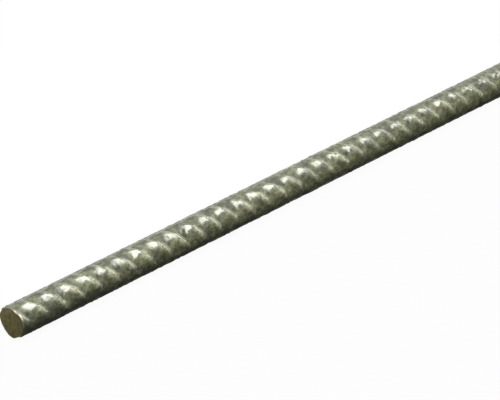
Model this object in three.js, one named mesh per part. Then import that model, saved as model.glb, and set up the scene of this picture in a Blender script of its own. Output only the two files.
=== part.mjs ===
// A cut length of deformed reinforcing bar: carbon steel, hot rolled in one piece, with both
// ends sheared off square and their edges slightly broken. Millimetres, +Z up. The bar lies
// along X on the plane z = 0, with the origin under the middle of its length.
import * as THREE from "three";

// Driving dimensions.
const BAR_LENGTH = 609.6; // a two-foot cut length
const NOMINAL_DIAMETER = 12.7; // of the plain round bar that weighs the same for each metre
const CUT_EDGE_BREAK = 0.4; // bevel that the shears leave round each end face
const SECTION_SIDES = 24; // flat sides that stand for the round section

// A polygon loses area against its circle. This corner radius gives the polygon the area of
// the nominal circle, so that the solid weighs what a real bar of this length weighs.
const nominalArea = (Math.PI * NOMINAL_DIAMETER ** 2) / 4;
const sideAngle = (2 * Math.PI) / SECTION_SIDES;
const cornerRadius = Math.sqrt((2 * nominalArea) / (SECTION_SIDES * Math.sin(sideAngle)));
const apothem = cornerRadius * Math.cos(sideAngle / 2);

const millScaleSteel = new THREE.MeshStandardMaterial({
  name: "mill_scale_steel",
  color: 0x7f826f,
  roughness: 0.45,
  metalness: 0.85,
});

// The bar's profile turned about its own axis: from the middle of one end face, out over the
// broken edge, along the bar and back in to the middle of the other end face. The turn starts
// half a side past straight down, so one flat side lies on the ground.
function reinforcingBar() {
  const end = BAR_LENGTH / 2;
  const faceRadius = cornerRadius - CUT_EDGE_BREAK;
  const profile = [
    [0, -end],
    [faceRadius, -end],
    [cornerRadius, -end + CUT_EDGE_BREAK],
    [cornerRadius, end - CUT_EDGE_BREAK],
    [faceRadius, end],
    [0, end],
  ].map(([radius, along]) => new THREE.Vector2(radius, along));
  const firstCorner = Math.PI + sideAngle / 2;
  const geometry = new THREE.LatheGeometry(profile, SECTION_SIDES, firstCorner);
  const bar = new THREE.Mesh(geometry, millScaleSteel);
  bar.name = "reinforcing_bar";
  bar.rotation.z = -Math.PI / 2; // the turning axis, Y, comes to lie along X
  bar.position.z = apothem;
  return bar;
}

const stock = new THREE.Group();
stock.add(reinforcingBar());

export default stock;
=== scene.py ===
"""A cut length of ribbed steel reinforcing bar on a white studio floor."""
import math

import bpy
import numpy as np
from mathutils import Matrix, Vector


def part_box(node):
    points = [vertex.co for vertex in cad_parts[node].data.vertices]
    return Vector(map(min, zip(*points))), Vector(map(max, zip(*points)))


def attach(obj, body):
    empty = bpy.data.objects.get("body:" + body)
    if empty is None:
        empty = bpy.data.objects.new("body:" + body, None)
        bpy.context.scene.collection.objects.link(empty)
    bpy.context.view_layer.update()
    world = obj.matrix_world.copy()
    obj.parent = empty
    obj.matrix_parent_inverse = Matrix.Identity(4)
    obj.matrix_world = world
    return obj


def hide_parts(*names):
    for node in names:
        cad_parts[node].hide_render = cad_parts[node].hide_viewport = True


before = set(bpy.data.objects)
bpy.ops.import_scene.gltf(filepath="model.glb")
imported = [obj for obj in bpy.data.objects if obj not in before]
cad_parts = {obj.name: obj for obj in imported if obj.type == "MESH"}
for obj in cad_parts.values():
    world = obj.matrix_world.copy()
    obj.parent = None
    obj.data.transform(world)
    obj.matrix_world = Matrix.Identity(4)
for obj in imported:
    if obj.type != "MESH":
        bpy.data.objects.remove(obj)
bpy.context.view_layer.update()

# ---------------------------------------------------------------- camera
# A long lens looks down on the near end of the bar from its left, so that the bar runs up
# and away to the right and leaves the frame on that side.
mm = 0.001
bar_low, bar_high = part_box("reinforcing_bar")
BAR_LENGTH = bar_high.x - bar_low.x
AXIS_HEIGHT = (bar_low.z + bar_high.z) / 2
NEAR_END = Vector((bar_low.x, 0.0, AXIS_HEIGHT))

VIEW_TURN = math.radians(44.45)  # from square-on to the bar, round towards its near end
VIEW_DOWN = math.radians(30.37)
NEAR_END_RIGHT = -88.25 * mm  # of the line of sight
NEAR_END_ABOVE = -45.38 * mm
NEAR_END_AWAY = 1149.4 * mm
LENS = 224.3  # millimetres, as the film
FILM_WIDTH = 36.0

sight = Vector((math.sin(VIEW_TURN) * math.cos(VIEW_DOWN),
                math.cos(VIEW_TURN) * math.cos(VIEW_DOWN),
                -math.sin(VIEW_DOWN)))
sight_right = Vector((math.cos(VIEW_TURN), -math.sin(VIEW_TURN), 0.0))
sight_up = sight_right.cross(sight)

camera_data = bpy.data.cameras.new("camera")
camera_data.lens = LENS
camera_data.sensor_width = FILM_WIDTH
camera_data.clip_start = 0.01
camera_data.clip_end = 100.0
camera = bpy.data.objects.new("camera", camera_data)
bpy.context.scene.collection.objects.link(camera)
stand = NEAR_END - NEAR_END_RIGHT * sight_right - NEAR_END_ABOVE * sight_up - NEAR_END_AWAY * sight
turned = Matrix((sight_right, sight_up, -sight)).transposed()
camera.matrix_world = Matrix.Translation(stand) @ turned.to_4x4()
bpy.context.scene.camera = camera

# ---------------------------------------------------------------- ribbed bar
# Carbon steel rolled hot in one piece: two rows of crescent ribs slant round it like a
# right-hand screw, and a low seam rib runs along each gap between the rows. Both ends are
# sheared off nearly square. Angles round the bar start straight up, towards the camera's side.
CORE_RADIUS = 6.06 * mm
RIB_PITCH = 8.9 * mm
RIB_HEIGHT = 1.12 * mm
RIB_SHARPNESS = 3.03
RIB_LEAN = 0.452  # how much the long side, towards the near end, outgrows the short side
RIB_PEAK = -0.0576  # below nought, a crest is broader
PITCHES_PER_TURN = 3
TOP_CREST = 0.694  # where a rib crosses the top of the bar, in pitches
ROW_MIDDLE = math.radians(41.6)
ROW_HALF_SPAN = math.radians(77.2)
ROW_FULLNESS = 0.557  # power that keeps a rib high to near its ends
SEAM_HEIGHT = 0.5 * mm
SEAM_HALF_ANGLE = math.radians(10.0)
UNEVENNESS = 0.035 * mm
DENT_DEPTH = 0.042 * mm
NEAR_CUT = 0.3 * mm  # how far along the near cut crosses the axis
NEAR_CUT_SLANT = 0.05  # its run along the bar for each unit across it
NEAR_CUT_BACK = math.radians(100.0)  # the side where it lies furthest along
EDGE_LENGTH = 0.7 * mm  # of the broken edge, along the bar
EDGE_DROP_LEAST = 0.05 * mm
EDGE_DROP_MOST = 0.42 * mm  # where the shear has torn it most
EDGE_DROP_MIDDLE = math.radians(40.0)
EDGE_DROP_HALF_SPAN = math.radians(55.0)

COLUMNS = 96
ROWS_PER_PITCH = 14
CREST_CROWDING = 0.4  # how much closer the rows lie on a crest than on average
EDGE_STEPS = (0.15, 0.85, 1.0)  # rings on the broken edge, in parts of its length
FACE_RINGS = 9
FACE_RIM = 0.985  # the outermost ring on a face, as a part of its radius
ANGLES = np.arange(COLUMNS) * 2 * math.pi / COLUMNS


def slanting_waves(around, along, seed, count, most_around, longest, shortest):
    """Sum of waves that slant over the bar, cos(m * around + k * along + phase), with whole
    numbers m so that they close round it, scaled to a spread of about one."""
    rng = np.random.default_rng(seed)
    total = 0.0 * (around + along)
    for _ in range(count):
        m = rng.integers(-most_around, most_around + 1)
        length = math.exp(rng.uniform(math.log(shortest), math.log(longest)))
        k = rng.choice((-1, 1)) * 2 * math.pi / length
        total = total + np.cos(m * around + k * along + rng.uniform(0, 2 * math.pi))
    return total * math.sqrt(2 / count)


def hump(offset, half_width):
    """A raised cosine: one in the middle, nought at half_width and beyond."""
    return 0.5 + 0.5 * np.cos(math.pi * np.clip(offset / half_width, -1, 1))


def angle_from(middle, around, turn):
    """How far an angle lies from the nearest middle, below nought on the one side, where the
    middles repeat at each turn: the difference, moved by whole turns to within half a turn."""
    return (around - middle + turn / 2) % turn - turn / 2


def rib_rise(around, along):
    """Height of the slanting ribs, from nought to one: a raised cosine of the phase past the
    nearest crest, to a power, times a hump over the angle from the middle of the row. The
    phase is bent so that a rib is longer on the side of the near end and a little broader at
    its crest, and a crest moves on by a set number of pitches in each turn."""
    crest = TOP_CREST + around / (2 * math.pi) * PITCHES_PER_TURN
    phase = 2 * math.pi * (along / RIB_PITCH - crest)
    phase = phase + RIB_LEAN * (1 - np.cos(phase))
    across = (0.5 + 0.5 * np.cos(phase + RIB_PEAK * np.sin(phase))) ** RIB_SHARPNESS
    from_row = angle_from(ROW_MIDDLE, around, math.pi)
    return across * hump(from_row, ROW_HALF_SPAN) ** ROW_FULLNESS


def bar_radius(around, along):
    """Distance of the surface from the axis: the core, plus the slanting ribs, the seam ribs
    in the gaps between the rows, the long swells of the scale and its small dents."""
    from_gap = angle_from(ROW_MIDDLE + math.pi / 2, around, math.pi)
    swells = slanting_waves(around, along, seed=5, count=40, most_around=9,
                            longest=30 * mm, shortest=4 * mm)
    dents = slanting_waves(around, along, seed=8, count=80, most_around=16,
                           longest=6 * mm, shortest=2 * mm)
    return (CORE_RADIUS + RIB_HEIGHT * rib_rise(around, along)
            + SEAM_HEIGHT * hump(from_gap, SEAM_HALF_ANGLE)
            + UNEVENNESS * swells + DENT_DEPTH * dents)


def placed(around, along, radius):
    """Points at an angle round the bar, a length along it from the near end, and a radius from
    its axis: x is the length, y is minus the radius times the sine of the angle, and z is the
    radius times its cosine above the axis."""
    x = bar_low.x + along + 0 * around * radius
    y = -radius * np.sin(around)
    z = AXIS_HEIGHT + radius * np.cos(around)
    return np.stack(np.broadcast_arrays(x, y, z), axis=-1).reshape(-1, 3)


def side_grid(low, high):
    """The side as a grid whose rows follow the ribs: each column is shifted along the bar by
    the slant of the ribs and kept between its low and its high, where it ends on a ring. A
    row's place, in pitches, is its number less a sine of it, which draws the rows together on
    the crests. Gives the angles and lengths of its points, rings first, and its triangles."""
    turn_rows = PITCHES_PER_TURN * ROWS_PER_PITCH
    pitches = math.ceil(BAR_LENGTH / RIB_PITCH)
    rows = np.arange(2 * turn_rows + (pitches + 1) * ROWS_PER_PITCH)
    step = (rows - turn_rows) / ROWS_PER_PITCH - 1
    step = step - CREST_CROWDING * np.sin(2 * math.pi * step) / (2 * math.pi)
    along = RIB_PITCH * (TOP_CREST + step[:, None] + PITCHES_PER_TURN * ANGLES / (2 * math.pi))

    margin = 0.03 * mm  # a point nearer to a ring than this is left to the ring
    column = np.broadcast_to(np.arange(COLUMNS), along.shape)
    between = (along > low + margin) & (along < high - margin)
    number = np.where(along <= low + margin, column, COLUMNS + column)
    number[between] = 2 * COLUMNS + np.arange(between.sum())

    # After a whole turn a row meets the row that starts one turn further along the bar.
    seam_column = np.full(len(rows), COLUMNS)
    seam_column[:-turn_rows] = number[turn_rows:, 0]
    number = np.column_stack((number, seam_column))
    here, over = number[:-1, :-1], number[:-1, 1:]
    next_here, next_over = number[1:, :-1], number[1:, 1:]
    triangles = np.concatenate((np.stack((here, over, next_here), -1).reshape(-1, 3),
                                np.stack((over, next_over, next_here), -1).reshape(-1, 3)))
    a, b, c = triangles.T
    triangles = triangles[(a != b) & (b != c) & (a != c)]
    around = np.concatenate((ANGLES, ANGLES, np.broadcast_to(ANGLES, along.shape)[between]))
    along = np.concatenate((low, high, along[between]))
    return around, along, triangles


def end_rings(edge_along, cut_along, cut_slant, first_number, outer_ring):
    """One end: rings over the broken edge, from the side's last ring straight to the cut, then
    rings in to the middle of the flat face, whose place along the bar is the cut's plus its
    slant times the distance towards the side where it lies furthest along. Gives its points,
    its triangles, one for each point on the face, and how bare each point is; outer_ring
    numbers the side's last ring."""
    rim = bar_radius(ANGLES, edge_along)
    torn = hump(angle_from(EDGE_DROP_MIDDLE, ANGLES, 2 * math.pi), EDGE_DROP_HALF_SPAN)
    drop = EDGE_DROP_LEAST + (EDGE_DROP_MOST - EDGE_DROP_LEAST) * torn
    over = np.array(EDGE_STEPS)[:, None]
    inward = np.append(FACE_RIM, 1 - np.arange(1, FACE_RINGS) / FACE_RINGS)[:, None]
    radius = np.vstack((rim - drop * over, (rim - drop) * inward))
    cut_place = cut_along + cut_slant * radius * np.cos(ANGLES - NEAR_CUT_BACK)
    along = cut_place + (edge_along - cut_place) * np.append(1 - over, 0 * inward)[:, None]
    points = placed(np.broadcast_to(ANGLES, radius.shape), along, radius)
    middle = placed(np.zeros(1), np.full(1, cut_along), np.zeros(1))
    on_face = np.append(np.repeat(np.arange(len(radius)) >= len(EDGE_STEPS), COLUMNS), True)
    bare = np.append(np.tile(drop / EDGE_DROP_MOST, len(radius)), 0.0) * (1 - on_face)

    ring_count = len(radius)
    number = first_number + np.arange(ring_count * COLUMNS).reshape(ring_count, COLUMNS)
    number = np.vstack((outer_ring, number))
    turned_on = np.roll(number, -1, axis=1)
    outer, outer_on, inner, inner_on = number[:-1], turned_on[:-1], number[1:], turned_on[1:]
    tip = np.full(COLUMNS, first_number + ring_count * COLUMNS)
    triangles = np.concatenate((np.stack((outer, inner, outer_on), -1).reshape(-1, 3),
                                np.stack((outer_on, inner, inner_on), -1).reshape(-1, 3),
                                np.stack((number[-1], tip, turned_on[-1]), -1)))
    if cut_along > edge_along.mean():
        triangles = triangles[:, ::-1]
    return np.concatenate((points, middle)), triangles, on_face, bare


near_ring = NEAR_CUT + EDGE_LENGTH + NEAR_CUT_SLANT * CORE_RADIUS * np.cos(ANGLES - NEAR_CUT_BACK)
far_ring = np.full(COLUMNS, BAR_LENGTH - EDGE_LENGTH)
around, along, side = side_grid(near_ring, far_ring)
side_points = placed(around, along, bar_radius(around, along))
near_points, near_end, near_face, near_bare = end_rings(
    near_ring, NEAR_CUT, NEAR_CUT_SLANT, len(side_points), np.arange(COLUMNS))
far_points, far_end, far_face, far_bare = end_rings(
    far_ring, BAR_LENGTH, 0.0, len(side_points) + len(near_points), COLUMNS + np.arange(COLUMNS))
bar_points = np.concatenate((side_points, near_points, far_points))
bar_triangles = np.concatenate((side, near_end, far_end))
bar_around = np.arctan2(-bar_points[:, 1], bar_points[:, 2] - AXIS_HEIGHT)

bar_mesh = bpy.data.meshes.new("ribbed_bar")
bar_mesh.vertices.add(len(bar_points))
bar_mesh.vertices.foreach_set("co", bar_points.astype(np.float32).ravel())
bar_mesh.loops.add(bar_triangles.size)
bar_mesh.loops.foreach_set("vertex_index", bar_triangles.astype(np.int32).ravel())
bar_mesh.polygons.add(len(bar_triangles))
bar_mesh.polygons.foreach_set("loop_start", np.arange(0, bar_triangles.size, 3, dtype=np.int32))
bar_mesh.update(calc_edges=True)
bar_mesh.validate()
bar_mesh.shade_smooth()

# What the finish needs to know of each point, at most one: how rubbed it is, most on the
# crests of the ribs, and paler on the near part by painted light; whether it lies on a cut face;
# how bare the broken edge is there; how deep it lies in the khaki bloom along each row; and how
# much painted shade darkens it, most low on the near part and between the ribs. Further on, a
# band along the low side gets painted light instead, and the number is below nought.
WEAR_SHIFT = 0.138 * mm  # from the crests to where they are most rubbed
PAINTED_FALLOFF_FAR = 0.6  # how pale the rubbed crests stay on the far part, against the near end: painted light
PAINTED_FALLOFF_LENGTH = 400.0 * mm  # over which that painted light falls to it
BLOOM_MIDDLE = math.radians(60.0)
BLOOM_HALF_SPAN = math.radians(40.0)
# Painted shade: where it darkens the bar, low on the camera's side and on the near part.
PAINTED_SHADE_MIDDLE = math.radians(105.0)
PAINTED_SHADE_HALF_SPAN = math.radians(65.0)
PAINTED_SHADE_LENGTH = 130.0 * mm  # over which the near part fades into the rest
PAINTED_LIGHT = 0.75  # how far below nought the painted shade falls in the band of painted light
# Painted light: a band along the low side, further on, made lighter.
PAINTED_LIGHT_MIDDLE = math.radians(87.0)
PAINTED_LIGHT_HALF_SPAN = math.radians(38.0)
cut = np.concatenate((np.zeros(len(side_points)), near_face, far_face))
bare = np.concatenate((np.zeros(len(side_points)), near_bare, far_bare))
wear_and_painted_light = np.zeros(len(bar_points))
wear_and_painted_light[:len(side_points)] = rib_rise(around, along - WEAR_SHIFT)
from_near_end = bar_points[:, 0] - bar_low.x
# Painted light: the rubbed crests are kept paler towards the near end.
wear_and_painted_light = wear_and_painted_light * (PAINTED_FALLOFF_FAR + (1 - PAINTED_FALLOFF_FAR) * hump(from_near_end, PAINTED_FALLOFF_LENGTH))
bloom = hump(angle_from(BLOOM_MIDDLE, bar_around, math.pi), BLOOM_HALF_SPAN)
# Painted shade low on the near part and between the ribs, and further on a band of painted light.
near_part = hump(from_near_end, PAINTED_SHADE_LENGTH)
shaded_side = hump(angle_from(PAINTED_SHADE_MIDDLE, bar_around, 2 * math.pi), PAINTED_SHADE_HALF_SPAN)
lit_band = hump(angle_from(PAINTED_LIGHT_MIDDLE, bar_around, 2 * math.pi), PAINTED_LIGHT_HALF_SPAN)
painted_shade_and_light = (1 - wear_and_painted_light) * shaded_side * near_part - PAINTED_LIGHT * lit_band * (1 - near_part)
for name, values in (("wear_and_painted_light", wear_and_painted_light), ("cut_face", cut), ("bare_edge", bare),
                     ("bloom", bloom), ("painted_shade_and_light", painted_shade_and_light)):
    attribute = bar_mesh.attributes.new(name, "FLOAT", "POINT")
    attribute.data.foreach_set("value", values.astype(np.float32))

ribbed_bar = bpy.data.objects.new("ribbed_bar", bar_mesh)
bpy.context.scene.collection.objects.link(ribbed_bar)

# The finish: glossy mill scale mottled in grey and olive, rubbed paler along the ribs, with
# dark grime patches, painted shade and painted light, bright steel on the torn edges and a dull
# brown face at each cut.
SCALE_GREY = (0.143, 0.155, 0.084, 1)
SCALE_OLIVE = (0.328, 0.352, 0.180, 1)
# The dark of the specks and the grime, also used for the painted shade.
DARK_SCALE_AND_SHADE = (0.0445, 0.0485, 0.030, 1)
# Pale rubbed crests, paler still near the near end by painted light.
RUBBED_AND_LIT_RIB = (0.74, 0.79, 0.575, 1)
BARE_STEEL = (0.62, 0.61, 0.48, 1)
CUT_BROWN = (0.17, 0.142, 0.034, 1)
CUT_OLIVE = (0.315, 0.278, 0.072, 1)
BLOOM_TINT = (1.02, 1.0, 0.84, 1)
BLOTCH_SIZE = 2.0 * mm
GRAIN_SIZE = 0.9 * mm
GRIME_SIZE = 4.5 * mm
CUT_BLOTCH_SIZE = 1.6 * mm
RELIEF_SIZE = 1.6 * mm
RELIEF_HEIGHT = 0.05 * mm
BARE_RELIEF = 0.2  # of that height, on the torn edge
# Each pair is where on a noise, or on the wear, its effect starts and where it is full.
OLIVE_SPAN = (0.36, 0.62)
RUBBED_SPAN = (0.3, 0.95)
RUBBED_GRAIN_SPAN = (0.38, 0.6)
DARK_GRAIN_SPAN = (0.5, 0.32)
GRIME_AND_SHADE_SPAN = (0.42, 0.66)
CUT_OLIVE_SPAN = (0.35, 0.65)
SMOOTH_SPAN = (0.35, 0.65)
RUBBED_LEAST = 0.35  # of the rubbing, left where the grain holds the scale
DARK_GRAIN_STRENGTH = 0.8
GRIME_AND_SHADE_STRENGTH = 0.6
PAINTED_SHADE_WEIGHT = 0.2  # what the painted shade and the painted light add to the grime noise
SCALE_METAL = 0.26
CUT_METAL = 0.6
BARE_METAL = 0.95
SCALE_ROUGHNESS = (0.32, 0.25)  # where the grain is dark and where it is pale
CUT_ROUGHNESS = 0.55
BARE_ROUGHNESS = 0.55
SCALE_IOR = 3.15

steel = bpy.data.materials.new("scaled_steel")
steel.use_nodes = True
tree = steel.node_tree
shader = tree.nodes["Principled BSDF"]


def socket(node, name):
    """The enabled socket of that name, since a Mix node has one set for each data type."""
    return next(one for one in node.inputs if one.name == name and one.enabled)


def feed(target, value):
    """Links a socket to another socket, or sets it to a value."""
    if isinstance(value, bpy.types.NodeSocket):
        target.id_data.links.new(value, target)
    else:
        target.default_value = value


def noise(tree, place, size, detail, roughness):
    """Noise around 0.5, with features of about the given size in metres."""
    node = tree.nodes.new("ShaderNodeTexNoise")
    feed(node.inputs["Vector"], place)
    node.inputs["Scale"].default_value = 1 / size
    node.inputs["Detail"].default_value = detail
    node.inputs["Roughness"].default_value = roughness
    return node.outputs["Fac"]


def stretched(tree, value, span, start=0.0, end=1.0):
    """The part of a value within a span, spread smoothly from start to end."""
    node = tree.nodes.new("ShaderNodeMapRange")
    node.interpolation_type = "SMOOTHSTEP"
    for name, number in (("Value", value), ("From Min", span[0]), ("From Max", span[1]),
                         ("To Min", start), ("To Max", end)):
        feed(node.inputs[name], number)
    return node.outputs["Result"]


def blended(tree, amount, start, end):
    """A number that goes smoothly from start to end as the amount goes from nought to one."""
    return stretched(tree, amount, (0.0, 1.0), start, end)


def joined(tree, operation, a, b):
    """Two numbers made one by a Math node: their sum, their product or the larger."""
    node = tree.nodes.new("ShaderNodeMath")
    node.operation = operation
    feed(node.inputs[0], a)
    feed(node.inputs[1], b)
    return node.outputs[0]


def mixed(tree, amount, a, b, kind="MIX"):
    """Colour a turned into colour b by an amount from nought to one."""
    node = tree.nodes.new("ShaderNodeMix")
    node.data_type = "RGBA"
    node.blend_type = kind
    feed(socket(node, "Factor"), amount)
    feed(socket(node, "A"), a)
    feed(socket(node, "B"), b)
    return next(one for one in node.outputs if one.enabled)


def point_value(tree, name):
    """What the mesh holds at each point under that name."""
    node = tree.nodes.new("ShaderNodeAttribute")
    node.attribute_name = name
    return node.outputs["Fac"]


place = tree.nodes.new("ShaderNodeTexCoord").outputs["Object"]
worn_and_lit = point_value(tree, "wear_and_painted_light")
khaki = point_value(tree, "bloom")
bare_edge = point_value(tree, "bare_edge")
cut_face = point_value(tree, "cut_face")

blotch = noise(tree, place, BLOTCH_SIZE, detail=3.0, roughness=0.55)
grain = noise(tree, place, GRAIN_SIZE, detail=4.0, roughness=0.65)
olive = stretched(tree, blotch, OLIVE_SPAN)
scale_colour = mixed(tree, olive, SCALE_GREY, SCALE_OLIVE)
# Paler where rubbed, and paler still on the near part, which is painted light.
rubbed_and_lit = joined(tree, "MULTIPLY", stretched(tree, worn_and_lit, RUBBED_SPAN),
                stretched(tree, grain, RUBBED_GRAIN_SPAN, RUBBED_LEAST, 1.0))
scale_colour = mixed(tree, rubbed_and_lit, scale_colour, RUBBED_AND_LIT_RIB)
specks = stretched(tree, grain, DARK_GRAIN_SPAN, 0.0, DARK_GRAIN_STRENGTH)
scale_colour = mixed(tree, specks, scale_colour, DARK_SCALE_AND_SHADE)
# The painted shade raises the grime noise and the painted light lowers it.
painted_shading = joined(tree, "MULTIPLY", point_value(tree, "painted_shade_and_light"), PAINTED_SHADE_WEIGHT)
grime_and_shade = joined(tree, "ADD", noise(tree, place, GRIME_SIZE, detail=2.0, roughness=0.5), painted_shading)
grime_and_shade_amount = stretched(tree, grime_and_shade, GRIME_AND_SHADE_SPAN, 0.0, GRIME_AND_SHADE_STRENGTH)
scale_colour = mixed(tree, grime_and_shade_amount, scale_colour, DARK_SCALE_AND_SHADE)
scale_colour = mixed(tree, khaki, scale_colour, BLOOM_TINT, "MULTIPLY")

cut_blotch = noise(tree, place, CUT_BLOTCH_SIZE, detail=4.0, roughness=0.6)
cut_colour = mixed(tree, stretched(tree, cut_blotch, CUT_OLIVE_SPAN), CUT_BROWN, CUT_OLIVE)
colour = mixed(tree, cut_face, scale_colour, cut_colour)
feed(shader.inputs["Base Color"], mixed(tree, bare_edge, colour, BARE_STEEL))
shader.inputs["IOR"].default_value = SCALE_IOR
metal = blended(tree, cut_face, SCALE_METAL, CUT_METAL)
feed(shader.inputs["Metallic"], blended(tree, bare_edge, metal, BARE_METAL))

scale_roughness = stretched(tree, grain, SMOOTH_SPAN, *SCALE_ROUGHNESS)
roughness = blended(tree, cut_face, scale_roughness, CUT_ROUGHNESS)
feed(shader.inputs["Roughness"], blended(tree, bare_edge, roughness, BARE_ROUGHNESS))

bump = tree.nodes.new("ShaderNodeBump")
feed(bump.inputs["Strength"], blended(tree, bare_edge, 1.0, BARE_RELIEF))
bump.inputs["Distance"].default_value = RELIEF_HEIGHT
feed(bump.inputs["Height"], noise(tree, place, RELIEF_SIZE, detail=2.0, roughness=0.5))
feed(shader.inputs["Normal"], bump.outputs["Normal"])
bar_mesh.materials.append(steel)

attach(ribbed_bar, "root")
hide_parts("reinforcing_bar")

# ---------------------------------------------------------------- floor and light
# A wide floor, white to the eye, touches the undersides of the ribs. A large soft lamp hangs
# over the bar and a second stands low beyond its far end. Two dark cards, one on the floor in
# front and one hung past the far end, stay out of the camera's sight.
FLOOR_SIDE = 30.0
FLOOR_SHADE = 0.045
FLOOR_GLOW = 0.95  # where one is white; the light on the floor adds the rest
CORNERS = ((-1, -1), (1, -1), (1, 1), (-1, 1))
floor_height = float(bar_points[:, 2].min())


def studio_piece(name, points, faces):
    """A mesh object of the studio, with its points where they stand."""
    mesh = bpy.data.meshes.new(name)
    mesh.from_pydata(points, [], faces)
    piece = bpy.data.objects.new(name, mesh)
    bpy.context.scene.collection.objects.link(piece)
    return piece


def matt_paint(name, shade):
    """A matt grey paint."""
    paint = bpy.data.materials.new(name)
    paint.use_nodes = True
    shader = paint.node_tree.nodes["Principled BSDF"]
    shader.inputs["Base Color"].default_value = (shade, shade, shade, 1)
    shader.inputs["Roughness"].default_value = 1.0
    shader.inputs["Specular IOR Level"].default_value = 0.0
    return paint


def seen_directly(tree):
    """One for rays from the camera, from gloss and through glass, and nought for the rest."""
    path = tree.nodes.new("ShaderNodeLightPath")
    seen = joined(tree, "MAXIMUM", path.outputs["Is Camera Ray"], path.outputs["Is Glossy Ray"])
    return joined(tree, "MAXIMUM", seen, path.outputs["Is Transmission Ray"])


floor = studio_piece("floor", [(i * FLOOR_SIDE / 2, j * FLOOR_SIDE / 2, floor_height)
                               for i, j in CORNERS], [(0, 1, 2, 3)])
floor_paint = matt_paint("floor_paint", FLOOR_SHADE)
floor_tree = floor_paint.node_tree
floor_shader = floor_tree.nodes["Principled BSDF"]
floor_shader.inputs["Emission Color"].default_value = (1, 1, 1, 1)
feed(floor_shader.inputs["Emission Strength"],
     joined(floor_tree, "MULTIPLY", seen_directly(floor_tree), FLOOR_GLOW))
floor.data.materials.append(floor_paint)

# The card in front is a strip that lies under the bar, in the darker paint, and two more that
# rise from it away from the bar.
CARD_SHADE = 0.104
INNER_SHADE = 0.047
CARD_ENDS = (-1.5, 3.0)  # along the bar
CARD_PROFILE = ((0.02, 0.0002), (-0.03, 0.0002), (-0.3, 0.02), (-1.2, 0.30))  # y, height


def hide_card(card):
    """Takes a card out of the camera's sight and out of the way of the lamps."""
    card.visible_camera = False
    card.visible_transmission = False
    card.visible_shadow = False


profile = np.array(CARD_PROFILE)
card_corners = np.stack(np.broadcast_arrays(
    np.array(CARD_ENDS), profile[:, :1], floor_height + profile[:, 1:]), -1)
strips = [(a, a + 1, a + 3, a + 2) for a in range(0, 2 * len(profile) - 2, 2)]
dark_card = studio_piece("dark_card", card_corners.reshape(-1, 3), strips)
hide_card(dark_card)
dark_card.data.materials.append(matt_paint("card_paint", CARD_SHADE))
dark_card.data.materials.append(matt_paint("inner_card_paint", INNER_SHADE))
dark_card.data.polygons[0].material_index = 1

# The hung card faces the bar: its turn is the angle from the bar's far end round to the
# camera's side, and its lift the angle above the floor.
HUNG_SHADE = 0.02
HUNG_WIDTH = 0.8
HUNG_HEIGHT = 0.7
HUNG_AWAY = 1.6
HUNG_ALONG = 0.1  # where on the bar it faces
HUNG_TURN = math.radians(50)
HUNG_LIFT = math.radians(42)
toward = Vector((math.cos(HUNG_TURN) * math.cos(HUNG_LIFT),
                 -math.sin(HUNG_TURN) * math.cos(HUNG_LIFT),
                 math.sin(HUNG_LIFT)))
level = Vector((math.sin(HUNG_TURN), math.cos(HUNG_TURN), 0.0))
rise = toward.cross(level)
middle = NEAR_END + Vector((HUNG_ALONG, 0, 0)) + HUNG_AWAY * toward
hung_card = studio_piece("hung_card", [
    middle + i * HUNG_WIDTH / 2 * level + j * HUNG_HEIGHT / 2 * rise for i, j in CORNERS],
    [(0, 1, 2, 3)])
hide_card(hung_card)
hung_card.data.materials.append(matt_paint("hung_card_paint", HUNG_SHADE))

WORLD_LIGHT = 0.425
world = bpy.data.worlds.new("studio")
world.use_nodes = True
background = world.node_tree.nodes["Background"]
background.inputs["Color"].default_value = (1, 1, 1, 1)
background.inputs["Strength"].default_value = WORLD_LIGHT
bpy.context.scene.world = world


def soft_lamp(name, brightness, width, length, away, over, lean, along):
    """A rectangular lamp that faces the stretch of bar in view: over is its angle from
    straight up towards the camera's side, and lean its angle towards the far end. Its power
    is pi times its area times its brightness, at which it looks that bright."""
    data = bpy.data.lights.new(name, "AREA")
    data.shape = "RECTANGLE"
    data.energy = math.pi * width * length * brightness
    data.size = length
    data.size_y = width
    lamp = bpy.data.objects.new(name, data)
    bpy.context.scene.collection.objects.link(lamp)
    up = Vector((math.sin(lean), -math.sin(over) * math.cos(lean), math.cos(over) * math.cos(lean)))
    along_bar = (Vector((1, 0, 0)) - up.x * up).normalized()
    target = NEAR_END + Vector((along, 0, 0))
    facing = Matrix((along_bar, up.cross(along_bar), up)).transposed()
    lamp.matrix_world = Matrix.Translation(target + away * up) @ facing.to_4x4()
    lamp.visible_camera = False


soft_lamp("overhead_lamp", brightness=3.5, width=2.04, length=2.98, away=2.5,
          over=math.radians(19.5), lean=math.radians(-16.5), along=0.0516)
soft_lamp("far_lamp", brightness=1.7, width=1.04, length=1.52, away=1.54,
          over=math.radians(-30), lean=math.radians(77.5), along=0.15)

bpy.context.scene.view_settings.view_transform = "Standard"
